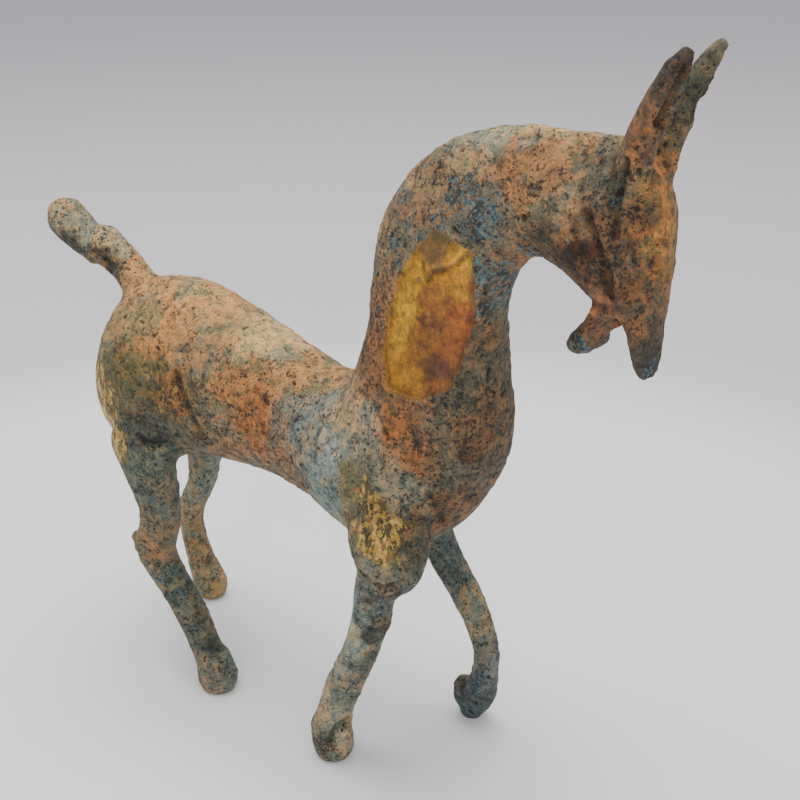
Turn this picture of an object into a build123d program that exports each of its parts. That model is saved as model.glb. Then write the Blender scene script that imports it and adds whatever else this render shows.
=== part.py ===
from build123d import *
import math
import os

# Bronze horse statue: a walking horse with an arched neck, upright ears and a
# raised tail.  It is cast in sections over clay cores and doweled together.
# Millimetres.  +X is the way the horse faces, +Y is its left side, +Z is up.

# ---- driving dimensions -------------------------------------------------
STATUE_HEIGHT = 201.0     # floor to the ear tips
DESIGN_HEIGHT = 201.0     # height at which the sections below are written
WALL = 3.5                # thickness of the hollow body and neck castings
EAR_RIM = 1.1             # thickness of the rim on each side of an ear's hollow
EAR_HOLLOW_TURN = 0.6     # how far that hollow is turned outwards
EAR_HOLLOW_LIFT = 0.2     # how far it is raised, as a part of the ear's depth
EAR_HOLLOW_TIP = 0.5      # half its width at the tip of the ear

LEG_DOWEL = (2.0, 12.0)   # radius and length of each kind of dowel
TAIL_DOWEL = (2.0, 12.0)
HEAD_DOWEL = (3.0, 18.0)
EAR_DOWEL = (1.0, 6.0)
JAW_DOWEL = (1.0, 6.0)
SEAM_PIN = (0.7, 7.0)     # small pins in the wall at the two body seams
CORE_PIN_RADIUS = 0.8     # pins that held the clay cores while the metal was poured
CORE_PIN_BITE = 3.0       # how far a core pin reaches into the clay
CORE_PIN_SUNK = 0.4       # how far its outer end lies below the surface

SCALE = STATUE_HEIGHT / DESIGN_HEIGHT
OUTLINE_POINTS = 14       # points round each trunk section
TRUNK_STEPS = 3           # lofted sections for each written one
LIMB_STEPS = 2

# ---- trunk: rump, barrel, chest, neck, head -----------------------------
# Each section is upright across the animal: top x, z, bottom x, z, half
# width, and how far the widest place sits below the middle.
TRUNK = [
    (-75.5, 99.0, -77.0, 90.0, 5.0, 0.00),     # dock of the rump
    (-73.5, 110.0, -76.0, 77.0, 14.5, 0.10),
    (-68.0, 118.0, -70.0, 67.0, 19.5, 0.12),
    (-56.0, 122.3, -57.0, 67.5, 22.0, 0.10),   # haunches
    (-42.0, 122.8, -43.0, 69.5, 20.0, 0.08),
    (-24.0, 118.0, -26.0, 72.2, 17.5, 0.02),   # waist
    (-6.0, 112.3, -7.0, 72.3, 15.5, 0.00),
    (7.0, 108.5, 6.0, 70.5, 16.0, 0.05),
    (15.0, 109.5, 20.0, 67.0, 19.5, 0.08),     # withers and girth
    (18.0, 111.0, 36.0, 66.5, 22.0, 0.12),
    (19.0, 115.0, 48.0, 74.0, 21.5, 0.15),     # chest
    (21.0, 121.0, 57.0, 87.0, 19.5, 0.12),     # base of the neck
    (23.0, 130.0, 62.0, 101.0, 16.5, 0.10),
    (23.8, 142.0, 61.0, 118.0, 14.0, 0.10),
    (27.0, 156.0, 59.5, 134.0, 12.5, 0.15),
    (36.0, 168.0, 62.5, 145.0, 11.5, 0.15),
    (48.0, 176.0, 67.5, 151.0, 11.0, 0.15),    # crest
    (62.0, 180.0, 73.5, 152.5, 11.0, 0.15),
    (70.0, 180.5, 76.0, 151.6, 11.0, 0.15),    # poll
    (78.0, 180.5, 80.3, 149.0, 11.0, 0.15),    # jowl
    (90.0, 180.5, 85.0, 145.0, 11.0, 0.10),
    (97.6, 175.0, 89.0, 143.5, 10.5, 0.05),
    (100.5, 165.0, 91.5, 142.0, 9.5, 0.00),    # face
    (100.7, 154.0, 93.5, 140.0, 8.0, 0.00),
    (100.1, 144.0, 94.5, 138.0, 6.6, 0.00),
    (100.4, 135.0, 95.3, 133.2, 5.4, 0.00),
    (100.2, 130.2, 96.8, 129.4, 3.2, 0.00),     # muzzle
]
CAVITY_FIRST = 2          # first and last trunk sections that are hollow
CAVITY_LAST = 16
WAIST = 5                 # trunk sections that the seams follow
NECK_BASE = 11
POLL = 18
MUZZLE = 24

# ---- limbs --------------------------------------------------------------
# Each section is square to its limb: x, y, z, half depth fore and aft, half
# width across.
FORELEG_RIGHT = [
    (36.0, -14.0, 84.0, 11.0, 8.0),
    (39.5, -17.0, 75.0, 11.4, 9.5),            # shoulder lobe
    (40.6, -19.0, 67.5, 8.8, 8.6),
    (37.2, -19.7, 61.0, 5.5, 6.6),
    (35.7, -20.0, 52.0, 5.0, 5.7),
    (33.3, -20.0, 44.0, 4.7, 5.3),
    (29.8, -20.0, 35.0, 4.7, 5.1),
    (25.5, -20.0, 25.0, 4.9, 4.9),
    (22.0, -20.0, 15.0, 5.0, 5.0),
    (20.8, -20.0, 9.0, 5.9, 5.6),              # fetlock
    (21.2, -20.0, 3.5, 6.0, 5.6),
    (21.4, -20.0, -1.5, 4.0, 4.0),             # below the floor, cut flat for the sole
]
FORELEG_LEFT = [
    (24.5, 14.0, 84.0, 9.0, 8.0),
    (26.0, 17.0, 74.0, 9.0, 9.5),
    (26.5, 18.5, 65.0, 6.4, 8.0),
    (28.0, 18.8, 58.0, 4.6, 6.0),
    (32.4, 18.8, 50.0, 4.5, 5.0),
    (37.8, 18.8, 43.0, 4.2, 4.6),
    (43.8, 18.6, 34.0, 3.7, 4.1),
    (47.2, 18.5, 24.0, 3.4, 3.9),
    (46.8, 18.5, 15.0, 4.0, 4.2),
    (45.0, 18.5, 8.5, 5.0, 4.7),               # fetlock, folded back
    (42.9, 18.5, 3.5, 4.2, 4.0),
    (42.2, 18.5, -1.0, 2.2, 2.2),              # tip of the toe, cut flat by the floor
]
HEEL_LEFT = [
    (44.0, 18.5, 6.6, 4.2, 4.0),
    (41.2, 18.5, 6.4, 4.4, 4.2),
    (39.9, 18.5, 9.6, 3.2, 3.2),
    (39.8, 18.5, 11.6, 1.8, 1.8),              # heel, turned up behind the fetlock
]
HIND_LEG_RIGHT = [
    (-58.0, -14.0, 84.0, 13.0, 8.0),
    (-53.2, -17.0, 72.0, 9.4, 7.8),
    (-49.1, -17.0, 58.0, 6.4, 6.3),
    (-49.0, -17.0, 49.0, 5.6, 5.6),
    (-51.8, -17.5, 40.0, 6.4, 5.5),
    (-44.7, -18.0, 32.0, 5.0, 4.9),
    (-37.9, -18.0, 24.0, 4.8, 4.8),
    (-32.0, -18.0, 14.0, 4.9, 4.6),
    (-28.8, -18.0, 9.0, 5.8, 5.2),
    (-27.2, -18.0, 3.5, 6.3, 5.7),
    (-27.0, -18.0, -1.5, 4.2, 4.0),
]
HOCK_RIGHT = [
    (-49.0, -17.3, 42.0, 4.6, 4.6),
    (-56.0, -17.3, 41.4, 3.8, 3.6),
    (-61.6, -17.3, 41.4, 1.4, 1.6),            # point of the hock
]
HIND_LEG_LEFT = [
    (-60.0, 14.0, 82.0, 12.0, 8.0),
    (-61.5, 15.6, 70.0, 8.5, 8.0),
    (-64.2, 17.0, 58.0, 5.6, 6.0),
    (-68.1, 18.0, 44.0, 4.4, 4.8),
    (-73.4, 18.0, 34.0, 4.1, 4.4),
    (-74.7, 18.0, 26.0, 3.9, 4.2),
    (-72.7, 18.0, 16.0, 4.2, 4.2),
    (-69.5, 18.0, 9.0, 5.5, 5.0),
    (-67.2, 18.0, 3.5, 5.9, 5.4),
    (-67.0, 18.0, -1.5, 4.0, 3.8),
]
TAIL = [
    (-62.0, 0.0, 112.0, 7.0, 7.0),
    (-68.5, 0.0, 117.0, 5.8, 5.5),
    (-75.2, 0.0, 122.6, 5.2, 5.0),
    (-82.6, 0.0, 126.2, 5.9, 5.0),
    (-91.0, 0.0, 127.6, 5.8, 5.2),
    (-98.0, 0.0, 131.0, 6.2, 6.0),
    (-102.0, 0.0, 133.5, 6.2, 6.0),
    (-105.5, 0.0, 135.5, 3.8, 3.6),            # knob at the tip
]
EAR = [                                        # the right ear has y < 0
    (92.5, 4.5, 168.0, 4.6, 3.4),
    (94.4, 6.2, 177.0, 3.8, 3.2),
    (96.6, 7.0, 184.0, 3.5, 3.1),
    (99.6, 7.6, 190.6, 3.1, 2.8),
    (102.8, 8.0, 196.8, 2.4, 2.3),
    (105.0, 8.2, 200.4, 1.3, 1.3),
]
JAW = [
    (90.0, 0.0, 147.0, 5.0, 5.0),
    (87.0, 0.0, 141.0, 3.4, 4.2),
    (84.4, 0.0, 137.2, 2.8, 4.0),
    (82.0, 0.0, 134.2, 2.7, 4.2),
    (80.4, 0.0, 132.4, 1.6, 2.8),
]
LEG_SEAMS = {                                  # limb section where each leg meets its stub
    "foreleg_right": 4,
    "foreleg_left": 4,
    "hind_leg_right": 2,
    "hind_leg_left": 2,
}
TAIL_SEAM = 2
EAR_SEAM = 1
JAW_SEAM = 1

# Core pins: trunk section, and the angle round it from the top, in degrees.
CORE_PINS = [
    (3, -62.0), (3, 62.0),
    (6, -80.0), (6, 80.0),
    (9, -70.0), (9, 70.0),
    (14, -95.0), (14, 95.0),
    (7, 180.0), (4, 0.0),
]
SEAM_PIN_ANGLES = (-130.0, -50.0, 50.0, 130.0)


def refined(sections, steps):
    """The written sections with more between them, on smooth curves through them."""
    spans = [math.dist(first, second) for first, second in zip(sections, sections[1:])]
    slopes = []
    for i in range(len(sections)):
        before = max(i - 1, 0)
        after = min(i + 1, len(sections) - 1)
        length = sum(spans[before:after])
        slopes.append([(b - a) / length for a, b in zip(sections[before], sections[after])])
    finer = []
    for i, span in enumerate(spans):
        for step in range(steps):
            t = step / steps
            rise = t * t * (3 - 2 * t)
            leave = span * t * (1 - t) ** 2
            arrive = span * t * t * (t - 1)
            ends = zip(sections[i], sections[i + 1], slopes[i], slopes[i + 1])
            finer.append(tuple(
                a + (b - a) * rise + leave * slope_a + arrive * slope_b
                for a, b, slope_a, slope_b in ends
            ))
    finer.append(sections[-1])
    return finer


def trunk_point(section, angle, inset=0.0):
    """A point on a trunk section, at an angle from its top, moved in by inset."""
    top_x, top_z, bottom_x, bottom_z, half_width, low = section
    middle = Vector((top_x + bottom_x) / 2, 0, (top_z + bottom_z) / 2)
    half_height = Vector((top_x - bottom_x) / 2, 0, (top_z - bottom_z) / 2)
    reach = half_height * ((half_height.length - inset) / half_height.length)
    turn = math.radians(angle)
    side = (half_width - inset) * math.sin(turn) * (1 - low * math.cos(turn))
    return (middle + reach * math.cos(turn) + Vector(0, side, 0)) * SCALE


def trunk_face(section, inset=0.0):
    """One section of the trunk as a flat egg-shaped face."""
    step = 360.0 / OUTLINE_POINTS
    points = [trunk_point(section, step * i, inset) for i in range(OUTLINE_POINTS)]
    return make_face(Spline(points, periodic=True))


def trunk_run(first, last, inset=0.0):
    """The trunk lofted from one written section to another, moved in by inset."""
    run = refined(TRUNK, TRUNK_STEPS)[first * TRUNK_STEPS:last * TRUNK_STEPS + 1]
    return loft([trunk_face(section, inset) for section in run])


def trunk_plane(number):
    """The plane of a trunk section, facing the head."""
    top_x, top_z, bottom_x, bottom_z, _, _ = TRUNK[number]
    middle = Vector((top_x + bottom_x) / 2, 0, (top_z + bottom_z) / 2) * SCALE
    up = Vector(top_x - bottom_x, 0, top_z - bottom_z)
    return Plane(origin=middle, x_dir=(0, 1, 0), z_dir=Vector(0, 1, 0).cross(up))


def limb_plane(limb, index):
    """The plane square to a limb at one of its sections, facing its tip."""
    before = Vector(*limb[max(index - 1, 0)][:3])
    after = Vector(*limb[min(index + 1, len(limb) - 1)][:3])
    along = (after - before).normalized()
    fore = along.cross(Vector(0, 1, 0)).normalized()
    return Plane(origin=Vector(*limb[index][:3]) * SCALE, x_dir=fore, z_dir=along)


def limb_solid(limb):
    """A limb lofted through its oval sections."""
    finer = refined(limb, LIMB_STEPS)
    sections = []
    for index, (_, _, _, depth, width) in enumerate(finer):
        oval = Ellipse(depth * SCALE, width * SCALE)
        sections.append(limb_plane(finer, index) * oval)
    return loft(sections)


def beyond(shape, plane):
    """The part of a shape on the side that the plane faces."""
    return split(shape, bisect_by=plane, keep=Keep.TOP)


def behind(shape, plane):
    """The part of a shape on the side that the plane turns its back to."""
    return split(shape, bisect_by=plane, keep=Keep.BOTTOM)


def dowel(plane, size):
    """A dowel centred on a seam and square to it."""
    radius, length = size
    return plane * Cylinder(radius * SCALE, length * SCALE)


def mirrored_limb(limb):
    """The same limb on the horse's other side."""
    return [(x, -y, z, depth, width) for x, y, z, depth, width in limb]


def ear_hollow(ear):
    """The channel that runs up the front of an ear."""
    hollow = []
    for x, y, z, depth, width in ear[2:]:
        turned = y + math.copysign(EAR_HOLLOW_TURN, y)
        raised = z + depth * EAR_HOLLOW_LIFT
        hollow.append((x + depth, turned, raised, depth, width - EAR_RIM))
    hollow[-1] = (*hollow[-1][:4], EAR_HOLLOW_TIP)
    return limb_solid(hollow)


def core_pin(number, angle, start, length):
    """A round pin aimed at the middle line, from start below the surface inwards."""
    section = TRUNK[number]
    outer = trunk_point(section, angle)
    centre = trunk_point(section, 0.0) * 0.5 + trunk_point(section, 180.0) * 0.5
    inward = (centre - outer).normalized()
    seat = Plane(origin=outer + inward * start * SCALE, z_dir=inward)
    upright = (Align.CENTER, Align.CENTER, Align.MIN)
    return seat * Cylinder(CORE_PIN_RADIUS * SCALE, length * SCALE, align=upright)


def seam_pins(number):
    """The small pins in the middle of the wall round one body seam."""
    plane = trunk_plane(number)
    round_seam = []
    for angle in SEAM_PIN_ANGLES:
        place = trunk_point(TRUNK[number], angle, WALL / 2)
        seat = Plane(origin=place, x_dir=plane.x_dir, z_dir=plane.z_dir)
        round_seam.append(dowel(seat, SEAM_PIN))
    return round_seam


# ---- whole forms --------------------------------------------------------
poll = trunk_plane(POLL)

cores = {
    "core_rear": trunk_run(CAVITY_FIRST, WAIST, WALL),
    "core_front": trunk_run(WAIST, NECK_BASE, WALL),
    "core_neck": trunk_run(NECK_BASE, CAVITY_LAST, WALL),
}

legs = {
    "foreleg_right": FORELEG_RIGHT,
    "foreleg_left": FORELEG_LEFT,
    "hind_leg_right": HIND_LEG_RIGHT,
    "hind_leg_left": HIND_LEG_LEFT,
}
ears = {"ear_right": mirrored_limb(EAR), "ear_left": EAR}

nodes = {}
stubs = {}
leg_dowels = []
for name, limb in legs.items():
    whole = limb_solid(limb)
    seam = limb_plane(limb, LEG_SEAMS[name])
    stubs[name] = behind(whole, seam)
    nodes[name] = beyond(whole, seam)
    leg_dowels.append(dowel(seam, LEG_DOWEL))
    nodes[name] -= leg_dowels[-1]
nodes["foreleg_left"] += limb_solid(HEEL_LEFT)
nodes["hind_leg_right"] += limb_solid(HOCK_RIGHT)
for name in legs:
    nodes[name] = beyond(nodes[name], Plane.XY)      # soles dressed flat on the floor

# ---- body and neck castings ---------------------------------------------
tail_seam = limb_plane(TAIL, TAIL_SEAM)
tail_whole = limb_solid(TAIL)
tail_dowel = dowel(tail_seam, TAIL_DOWEL)

rear = trunk_run(0, WAIST) + stubs["hind_leg_right"] + stubs["hind_leg_left"]
rear += behind(tail_whole, tail_seam)
front = trunk_run(WAIST, NECK_BASE) + stubs["foreleg_right"] + stubs["foreleg_left"]
neck = trunk_run(NECK_BASE, POLL)

wall_pins = seam_pins(WAIST) + seam_pins(NECK_BASE)
head_dowel = dowel(poll, HEAD_DOWEL)

nodes["torso_rear"] = rear - cores["core_rear"] - leg_dowels - tail_dowel - wall_pins
nodes["torso_front"] = front - cores["core_front"] - leg_dowels - wall_pins
nodes["neck"] = neck - cores["core_neck"] - wall_pins - head_dowel
nodes["tail"] = beyond(tail_whole, tail_seam) - tail_dowel

# ---- head, jaw and ears -------------------------------------------------
jaw_whole = limb_solid(JAW)
jaw_seam = limb_plane(JAW, JAW_SEAM)
jaw_dowel = dowel(jaw_seam, JAW_DOWEL)
head = trunk_run(POLL, MUZZLE) + trunk_run(MUZZLE, len(TRUNK) - 1)
head += behind(jaw_whole, jaw_seam)
ear_dowels = []
for name, limb in ears.items():
    seam = limb_plane(limb, EAR_SEAM)
    leaf = limb_solid(limb)
    head += behind(leaf, seam)
    head -= beyond(leaf, seam)
    ear_dowels.append(dowel(seam, EAR_DOWEL))
    nodes[name] = beyond(leaf - ear_hollow(limb), seam) - ear_dowels[-1]
nodes["head"] = head - head_dowel - jaw_dowel - ear_dowels
nodes["lower_jaw"] = beyond(jaw_whole, jaw_seam) - jaw_dowel

# ---- clay cores and the pins that held them -----------------------------
nodes.update(cores)
core_pins = []
for number, angle in CORE_PINS:
    length = WALL + CORE_PIN_BITE - CORE_PIN_SUNK
    core_pins.append(core_pin(number, angle, CORE_PIN_SUNK, length))
    hole = core_pin(number, angle, -WALL, WALL + WALL + CORE_PIN_BITE)
    for name in ("torso_rear", "torso_front", "neck", "core_rear", "core_front", "core_neck"):
        nodes[name] -= hole

# ---- dowels and pins, one node for each identical kind ------------------
nodes["leg_dowels"] = Compound(leg_dowels)
nodes["tail_dowel"] = tail_dowel
nodes["head_dowel"] = head_dowel
nodes["ear_dowels"] = Compound(ear_dowels)
nodes["jaw_dowel"] = jaw_dowel
nodes["seam_pins"] = Compound(wall_pins)
nodes["core_pins"] = Compound(core_pins)

# ---- origin at the middle of the footprint, on the floor ----------------
boxes = [shape.bounding_box() for shape in nodes.values()]
low = [min(tuple(box.min)[i] for box in boxes) for i in range(3)]
high = [max(tuple(box.max)[i] for box in boxes) for i in range(3)]
to_origin = Location((-(low[0] + high[0]) / 2, -(low[1] + high[1]) / 2, -low[2]))

os.makedirs("parts", exist_ok=True)
for name, shape in nodes.items():
    export_step(shape.moved(to_origin), os.path.join("parts", name + ".step"))
print("size", [round(high[i] - low[i], 2) for i in range(3)], "moved by", to_origin.position)
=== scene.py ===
import math

import bpy
import numpy as np
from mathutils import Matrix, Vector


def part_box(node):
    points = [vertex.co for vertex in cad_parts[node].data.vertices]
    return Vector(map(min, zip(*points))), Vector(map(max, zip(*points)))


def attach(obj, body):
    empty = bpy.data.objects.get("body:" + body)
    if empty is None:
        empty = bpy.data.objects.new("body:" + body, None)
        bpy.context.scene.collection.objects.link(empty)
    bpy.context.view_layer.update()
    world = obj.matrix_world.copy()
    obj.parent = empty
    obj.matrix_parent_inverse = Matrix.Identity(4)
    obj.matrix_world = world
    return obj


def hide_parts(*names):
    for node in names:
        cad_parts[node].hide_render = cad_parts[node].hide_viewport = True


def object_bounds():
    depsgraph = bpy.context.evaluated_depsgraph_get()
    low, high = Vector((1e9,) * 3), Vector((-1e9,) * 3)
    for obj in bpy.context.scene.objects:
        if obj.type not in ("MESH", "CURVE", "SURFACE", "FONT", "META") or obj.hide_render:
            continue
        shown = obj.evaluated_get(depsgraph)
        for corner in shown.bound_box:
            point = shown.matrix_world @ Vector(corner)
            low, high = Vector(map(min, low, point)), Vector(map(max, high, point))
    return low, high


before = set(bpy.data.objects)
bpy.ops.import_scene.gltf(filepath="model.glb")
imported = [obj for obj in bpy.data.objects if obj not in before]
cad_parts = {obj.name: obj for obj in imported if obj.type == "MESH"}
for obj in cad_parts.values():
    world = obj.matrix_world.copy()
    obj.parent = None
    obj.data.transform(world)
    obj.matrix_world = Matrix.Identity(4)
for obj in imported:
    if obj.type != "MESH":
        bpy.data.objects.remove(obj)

import openvdb as vdb
from mathutils import Vector

# The statue's looks.  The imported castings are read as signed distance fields,
# blended, given the relief of old bronze, and cut again along the same seams.
# Fields are worked in millimetres; every object is in metres.

MM = 0.001
VOXEL = 0.45
NODE_BAND = 4.0           # how far from a node its own field is known
FORM_BAND = 6.5           # the same for the blended form
MARGIN = 8.0              # empty space round the statue in the grid
SLIT = 0.25               # closes the hairlines where castings meet
SEAM_GAP = 0.01           # play left between two castings
INSET = 0.02              # how far the statue stays inside its CAD box
CRUMB = 400               # loose bits with fewer corners than this are left out
FILLETS = (1.0, 3.5)      # radius of the inner corners on the small forms and the large ones

CASTINGS = [
    "torso_rear", "torso_front", "neck", "head", "lower_jaw", "ear_right", "ear_left",
    "tail", "foreleg_right", "foreleg_left", "hind_leg_right", "hind_leg_left",
]
CORES = {"torso_rear": "core_rear", "torso_front": "core_front", "neck": "core_neck"}
PINS = [
    "core_pins", "seam_pins", "leg_dowels", "tail_dowel", "head_dowel", "ear_dowels", "jaw_dowel",
]

SATURATION, GAIN = 1.12, 1.12      # of the spots' colours

# beads added and grooves cut on each node: kind, radius, height above the surface, softness,
# places as fractions of the node's box, and True for a mark on both sides
MARKS = {"torso_front": [
    # lip of the shoulder lobe
    ("add", 4.6, -3.9, 1.5, [(0.8, 0.054, 0.353), (0.854, 0.057, 0.34), (0.9, 0.127, 0.367)]),
    # crease under the lobe
    ("cut", 1.5, 0.75, 0.6,
     [(0.771, 0.011, 0.295), (0.818, 0.003, 0.282), (0.857, 0.025, 0.271), (0.889, 0.059, 0.288),
      (0.914, 0.114, 0.318), (0.919, 0.212, 0.349)]),
    # narrowing under the lobe
    ("cut", 4.5, 1.8, 1.5,
     [(0.86, 0.087, 0.183), (0.886, 0.126, 0.221), (0.908, 0.161, 0.262), (0.918, 0.205, 0.299)]),
    # fold between lobe and chest
    ("cut", 1.3, 0.6, 0.8, [(0.922, 0.217, 0.596), (0.933, 0.266, 0.531), (0.927, 0.319, 0.465)]),
    # hole in the flank
    ("cut", 0.8, 0.1, 0.3, [(0.257, 0.257, 0.721), (0.258, 0.256, 0.718)]),
], "head": [
    # edge from ear to mouth
    ("add", 1.6, -0.5, 0.8,
     [(0.61, 0.259, 0.936), (0.629, 0.127, 0.844), (0.626, 0.068, 0.756), (0.683, 0.023, 0.622),
      (0.741, 0.038, 0.535), (0.793, 0.073, 0.441), (0.83, 0.127, 0.354)], True),
    # crease beside the ear
    ("cut", 1.1, 0.25, 0.5,
     [(0.789, 0.074, 0.948), (0.769, 0.095, 0.882), (0.741, 0.119, 0.806), (0.746, 0.078, 0.725),
      (0.762, 0.044, 0.645)], True),
    # crease behind the cheek
    ("cut", 2.0, 0.4, 0.6,
     [(0.535, 0.025, 0.71), (0.608, 0.016, 0.64), (0.675, 0.024, 0.563), (0.722, 0.043, 0.491),
      (0.699, 0.118, 0.386)], True),
    # hollow of the jowl
    ("cut", 4.4, 3.2, 0.8, [(0.437, 0.012, 0.673), (0.508, 0.009, 0.605), (0.573, 0.02, 0.536)], True),
    # bar at the mouth
    ("add", 1.2, -0.3, 0.6, [(0.531, 0.322, 0.267), (0.647, 0.306, 0.279), (0.807, 0.164, 0.308)], True),
    # mouth
    ("cut", 1.5, None, 0.8, [(0.732, 0.08, 0.229), (0.732, 0.92, 0.229)]),
], "lower_jaw": [
    # front knob of the jaw
    ("add", 2.1, -0.7, 0.8, [(0.666, 0.322, 0.376), (0.629, 0.688, 0.359)]),
    # end knob of the jaw
    ("add", 2.4, -1.7, 0.8, [(0.098, 0.204, 0.095), (0.098, 0.806, 0.095)]),
], "torso_rear": [
    # fold under the haunch
    ("cut", 1.3, 0.7, 0.8,
     [(0.523, 0.051, 0.344), (0.588, 0.087, 0.322), (0.618, 0.151, 0.312), (0.725, 0.169, 0.358)]),
    # tendon under the haunch
    ("add", 1.5, -0.9, 0.8, [(0.573, 0.065, 0.292), (0.615, 0.132, 0.279), (0.663, 0.215, 0.296)]),
    # fold of the flank
    ("cut", 1.3, 0.7, 0.8,
     [(0.785, 0.143, 0.66), (0.836, 0.139, 0.571), (0.873, 0.14, 0.513), (0.908, 0.17, 0.425),
      (0.943, 0.205, 0.366)], True),
    # ridge of the flank
    ("add", 2.0, -1.5, 1.0,
     [(0.736, 0.127, 0.637), (0.785, 0.127, 0.551), (0.811, 0.137, 0.484), (0.842, 0.173, 0.401),
      (0.878, 0.222, 0.333)], True),
], "foreleg_right": [
    # toe
    ("add", 3.0, -1.7, 0.4, [(0.443, 0.33, 0.205), (0.448, 0.309, 0.15)]),
    # crease beside the toe
    ("cut", 0.75, 0.2, 0.3,
     [(0.467, 0.388, 0.274), (0.418, 0.218, 0.267), (0.374, 0.139, 0.215), (0.367, 0.109, 0.152),
      (0.398, 0.129, 0.091)]),
    # notch over the toe
    ("cut", 2.2, 1.7, 0.8, [(0.457, 0.296, 0.273), (0.457, 0.688, 0.273)]),
], "hind_leg_right": [
    # pastern of the right hind foot
    ("cut", 3.0, 2.8, 1.4, [(0.848, 0.03, 0.262), (0.86, 0.875, 0.262)]),
    # point of the hock
    ("add", 2.5, -1.3, 1.5,
     [(0.332, 0.067, 0.924), (0.266, 0.116, 0.84), (0.216, 0.131, 0.773), (0.198, 0.094, 0.725)]),
], "hind_leg_left": [
    # pastern of the left hind foot
    ("cut", 3.0, 2.7, 1.4, [(0.704, 0.132, 0.252), (0.704, 1.017, 0.252)]),
    # pit in the left hind foot
    ("cut", 0.9, 0.2, 0.3, [(0.764, 0.359, 0.131), (0.768, 0.35, 0.126)]),
], "tail": [
    # pit in the tail
    ("cut", 1.3, 0.3, 0.3, [(0.847, 0.104, 0.286), (0.859, 0.103, 0.26)]),
    # small pit in the tail
    ("cut", 0.8, 0.2, 0.3, [(0.436, 0.114, 0.617), (0.445, 0.125, 0.618)]),
    # lump under the tail
    ("add", 1.5, -0.7, 0.6, [(0.603, 0.23, 0.231), (0.561, 0.23, 0.26)]),
    # hump of the tail
    ("add", 4.0, -3.1, 1.5, [(0.816, 0.513, 0.503), (0.717, 0.513, 0.581)]),
    # knob of the tail
    ("add", 2.2, -1.4, 0.8, [(0.319, 0.513, 0.936), (0.276, 0.513, 0.985)]),
], "neck": [
    # crease at the base of the neck
    ("cut", 0.9, 0.35, 0.5,
     [(0.228, 0.079, 0.282), (0.276, 0.054, 0.253), (0.324, 0.028, 0.224), (0.364, 0.016, 0.193)]),
    # ridge of the crest
    ("add", 1.1, -0.65, 0.6,
     [(0.107, 0.5, 0.674), (0.225, 0.5, 0.802), (0.37, 0.5, 0.893), (0.516, 0.5, 0.952),
      (0.698, 0.5, 0.987), (0.879, 0.5, 0.998)]),
    # nub on the crest
    ("add", 1.2, -0.2, 0.5, [(0.885, 0.425, 0.99), (0.898, 0.43, 0.991)]),
    # hole in the neck
    ("cut", 1.0, 0.1, 0.3, [(0.921, 0.224, 0.818), (0.921, 0.226, 0.815)]),
    # crack in the gilt panel
    ("cut", 0.45, 0.1, 0.2, [(0.47, 0.188, 0.614), (0.444, 0.195, 0.659)]),
    # beaded crack in the gilt panel
    ("cut", 0.55, 0.1, 0.2,
     [(0.469, 0.188, 0.616), (0.501, 0.196, 0.642), (0.559, 0.212, 0.65), (0.595, 0.221, 0.663),
      (0.635, 0.23, 0.684), (0.662, 0.235, 0.696)]),
]}

# the beads in the crack: where each one starts and ends
CRACK_BEADS = [
    [(0.487, 0.193, 0.632), (0.491, 0.194, 0.633)], [(0.515, 0.2, 0.643), (0.518, 0.201, 0.644)],
    [(0.541, 0.207, 0.647), (0.545, 0.208, 0.648)], [(0.568, 0.215, 0.652), (0.572, 0.216, 0.653)],
    [(0.593, 0.221, 0.661), (0.596, 0.222, 0.662)], [(0.617, 0.227, 0.673), (0.621, 0.227, 0.675)],
    [(0.64, 0.231, 0.685), (0.643, 0.231, 0.687)],
]
CRACK_BEAD = ("add", 0.5, -0.12, 0.12)

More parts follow.
